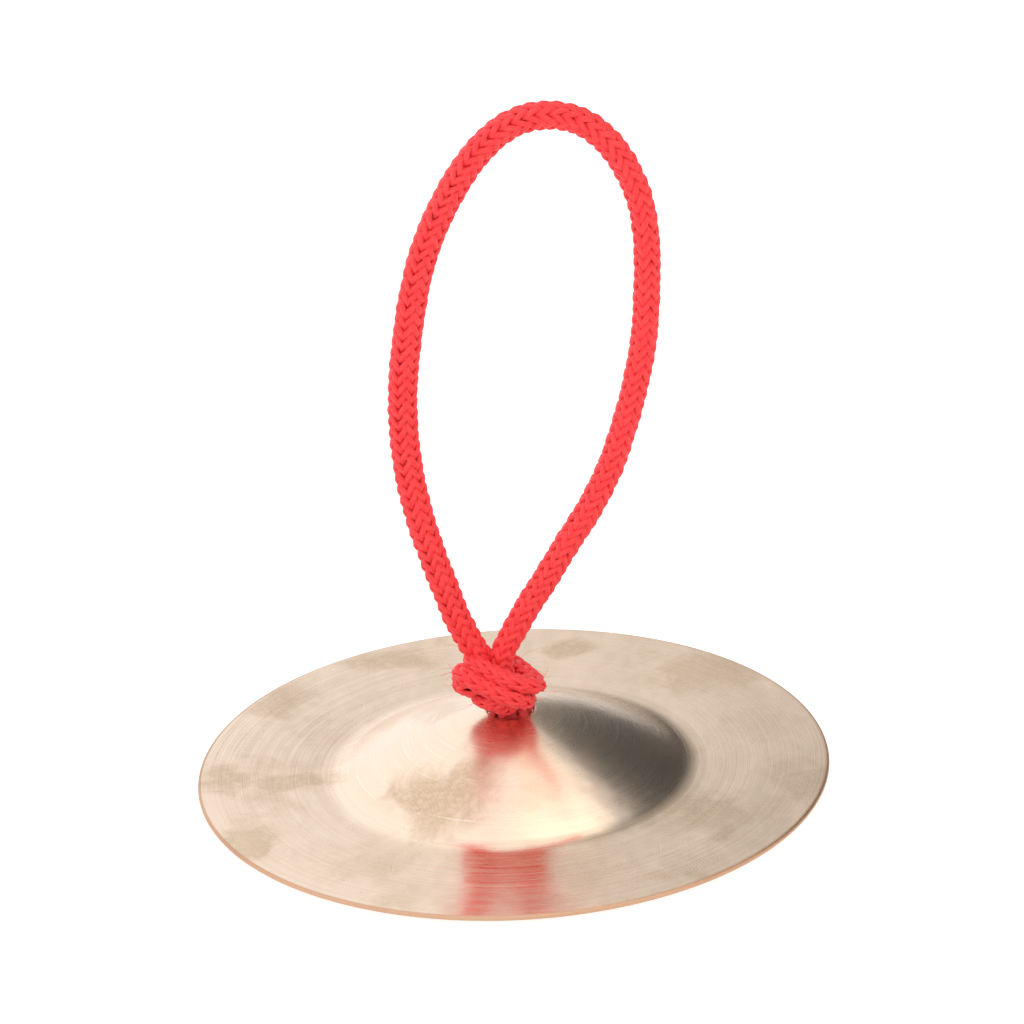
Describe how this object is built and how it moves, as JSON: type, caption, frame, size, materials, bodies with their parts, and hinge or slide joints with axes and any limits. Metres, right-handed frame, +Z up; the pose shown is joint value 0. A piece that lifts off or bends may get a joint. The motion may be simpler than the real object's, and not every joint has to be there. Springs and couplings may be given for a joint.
{
  "type": "finger cymbal",
  "caption": "Thin round bronze cymbal with a raised bell and a central bore, held by a knotted loop of knitted cord.",
  "frame": {"origin": "on the plate's axis, level with the ring under the bell's foot that the plate rests on", "axes": "+Z up along the plate's axis towards the handle, +X along the plane of the handle loop, -Y towards the viewer"},
  "size_m": [0.09, 0.09, 0.0994],
  "materials": {
    "bronze": "spun and lightly polished, with fine turning lines, finger marks and thin tan tarnish",
    "red_cord": "knitted tube of soft matt yarn",
    "melted_end": "heat-sealed yarn, dark and slightly shiny"
  },
  "bodies": {
    "cymbal": {"cymbal_plate": "bronze"},
    "cord_neck": {"cord_neck": "red_cord"},
    "cord_knots": {"upper_knot": "red_cord", "lower_knot": "red_cord", "cord_end_right": "red_cord", "sealed_tip_right": "melted_end", "cord_end_left": "red_cord", "sealed_tip_left": "melted_end"},
    "handle_loop": {"handle_loop": "red_cord"}
  },
  "joints": [
    {"name": "cord_swivel", "type": "hinge", "parent": "cymbal", "child": "cord_neck", "pos_m": [0, 0, 0.0098], "axis": [0, 0, 1], "continuous": true},
    {"name": "cord_slide", "type": "slide", "parent": "cord_neck", "child": "cord_knots", "axis": [0, 0, 1], "range_m": [0, 0.0008]},
    {"name": "loop_fold", "type": "hinge", "parent": "cord_knots", "child": "handle_loop", "pos_m": [0, 0, 0.0198], "axis": [1, 0, 0], "range_deg": [-90, 90], "stiffness_Nm_per_rad": 0.004}
  ]
}
